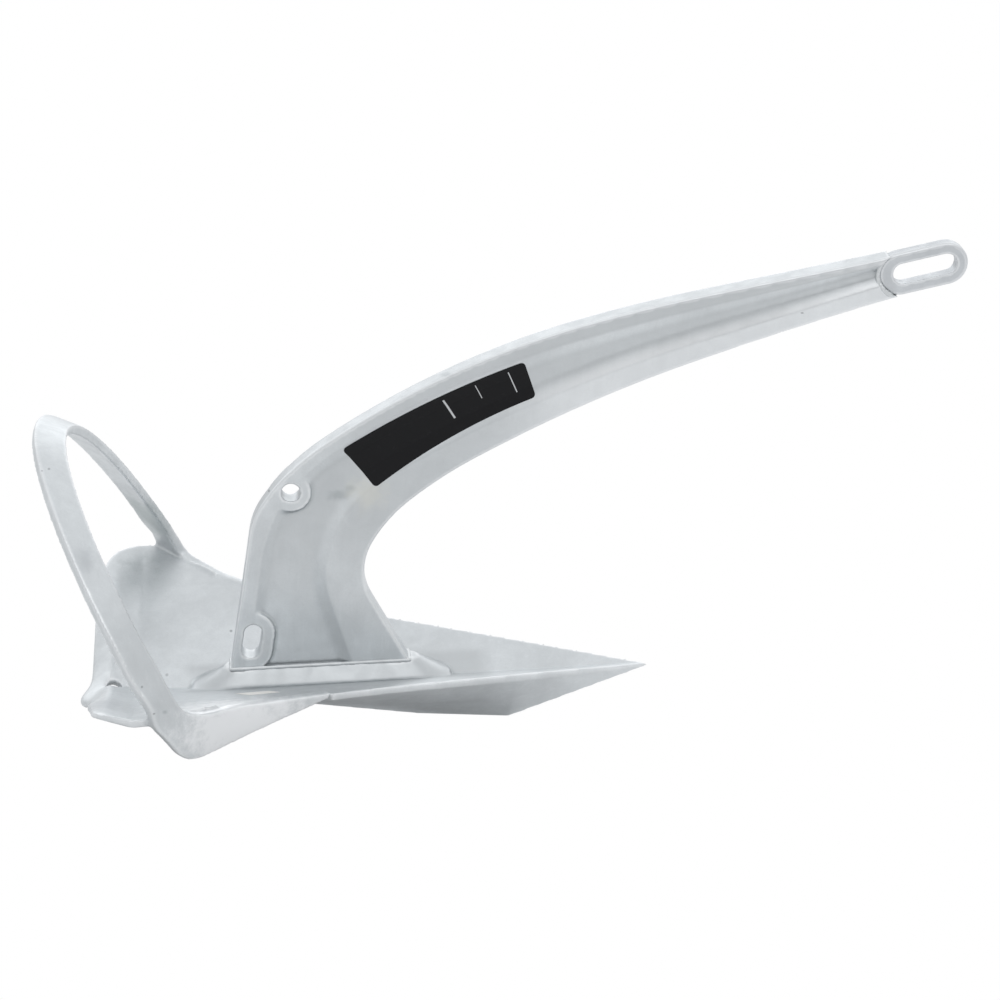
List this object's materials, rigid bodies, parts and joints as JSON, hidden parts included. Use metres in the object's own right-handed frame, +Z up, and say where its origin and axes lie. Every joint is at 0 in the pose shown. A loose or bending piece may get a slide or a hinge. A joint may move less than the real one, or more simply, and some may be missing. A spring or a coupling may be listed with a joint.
{
  "type": "scoop anchor",
  "caption": "Galvanised scoop anchor with a concave plough fluke, a roll bar that runs on as skids, an arched shank and a slotted shackle eye.",
  "frame": {"origin": "middle of the bounding box, on the floor that the anchor rests on", "axes": "+X from the heel towards the toe and the shackle eye, +Z up from the floor, +Y to the left"},
  "size_m": [0.8316, 0.4024, 0.4748],
  "materials": {
    "galvanised": "hot-dip galvanised, dull pale grey zinc",
    "label_film": "satin black",
    "sticker_paper": "matte paper"
  },
  "bodies": {
    "root": {"fluke": "galvanised", "shank": "galvanised", "shackle_eye": "galvanised", "roll_bar": "galvanised", "shank_foot_weld": "galvanised", "bar_weld_left": "galvanised", "bar_weld_right": "galvanised", "label": "label_film", "sticker": "sticker_paper"}
  },
  "joints": []
}
